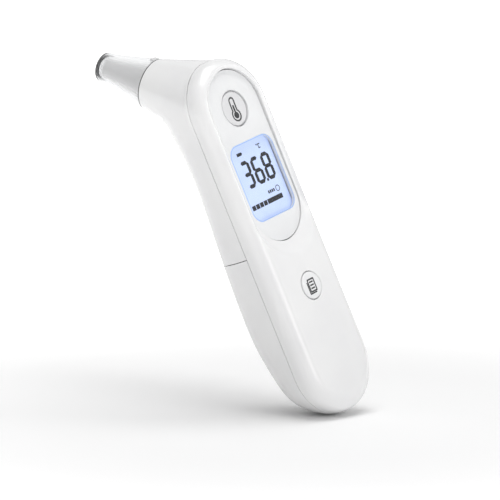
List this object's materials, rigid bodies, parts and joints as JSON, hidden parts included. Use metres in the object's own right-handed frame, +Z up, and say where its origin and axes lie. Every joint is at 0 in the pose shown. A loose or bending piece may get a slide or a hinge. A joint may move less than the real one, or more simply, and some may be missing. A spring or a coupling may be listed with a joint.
{
  "type": "digital ear thermometer",
  "caption": "Digital ear thermometer: a rounded stadium handle with an inset display panel, a scan button, a lower memory button and an angled conical probe with a clear cap.",
  "frame": {"origin": "hand grip: middle of the handle width, in the parting plane, 55 mm above the lower end of the handle", "axes": "+X across the handle, to the right seen from the front; +Y from the display side to the probe side; +Z up along the handle"},
  "size_m": [0.04, 0.0618, 0.1625],
  "materials": {
    "shell_white": "injection-moulded, satin gloss",
    "panel_white": "fine satin",
    "button_white": "moulded, satin gloss, printed symbol",
    "window_clear": "clear moulded window",
    "lcd_glass": "liquid crystal display with dark segments",
    "backlight_blue": "milky light guide",
    "holder_white": "plain moulded",
    "strip_rubber": "striped conductive silicone",
    "board_green": "solder mask over glass fibre laminate",
    "switch_body": "moulded",
    "plunger_black": "moulded",
    "chip_black": "epoxy package",
    "connector_white": "moulded",
    "ribbon_amber": "polyimide flat cable",
    "screw_steel": "zinc plated",
    "spring_steel": "nickel plated spring steel",
    "cell_jacket": "plastic jacket over steel can",
    "nozzle_grey": "satin grey moulded",
    "ring_dark": "soft dark elastomer",
    "sleeve_metal": "turned",
    "can_metal": "nickel plated can",
    "guide_brass": "gold plated bore",
    "window_dark": "coated silicon window",
    "cap_clear": "clear hard plastic",
    "film_clear": "thin clear film"
  },
  "bodies": {
    "handle": {"front_cover": "shell_white", "back_cover": "shell_white", "inset_panel": "panel_white", "display_window": "window_clear", "lcd_glass": "lcd_glass", "backlight": "backlight_blue", "lcd_holder": "holder_white", "contact_strips": "strip_rubber", "main_board": "board_green", "scan_switch": "switch_body", "memory_switch": "switch_body", "processor": "chip_black", "buzzer": "chip_black", "sensor_connector": "connector_white", "sensor_ribbon": "ribbon_amber", "board_screws": "screw_steel", "tray_screws": "screw_steel", "battery_tray": "holder_white", "contact_plates": "spring_steel", "contact_springs": "spring_steel", "battery_left": "cell_jacket", "battery_right": "cell_jacket", "probe_nozzle": "nozzle_grey", "probe_seal": "ring_dark", "sensor_sleeve": "sleeve_metal", "thermopile": "can_metal", "waveguide": "guide_brass", "sensor_window": "window_dark"},
    "scan_key": {"scan_button": "button_white", "scan_plunger": "plunger_black"},
    "memory_key": {"memory_button": "button_white", "memory_plunger": "plunger_black"},
    "battery_door": {"battery_cover": "shell_white"},
    "cap": {"probe_cap": "cap_clear", "tip_ring": "ring_dark", "cap_film": "film_clear"}
  },
  "joints": [
    {"name": "scan_press", "type": "slide", "parent": "handle", "child": "scan_key", "axis": [0, 1, 0], "range_m": [0, 0.0008], "stiffness_N_per_m": 600, "springref_m": -0.0004},
    {"name": "memory_press", "type": "slide", "parent": "handle", "child": "memory_key", "axis": [0, 1, 0], "range_m": [0, 0.0006], "stiffness_N_per_m": 600, "springref_m": -0.0004},
    {"name": "battery_cover_slide", "type": "slide", "parent": "handle", "child": "battery_door", "axis": [0, 0, -1], "range_m": [0, 0.078]},
    {"name": "cap_pull", "type": "slide", "parent": "handle", "child": "cap", "axis": [0, 0.8453, 0.5344], "range_m": [0, 0.034]}
  ]
}
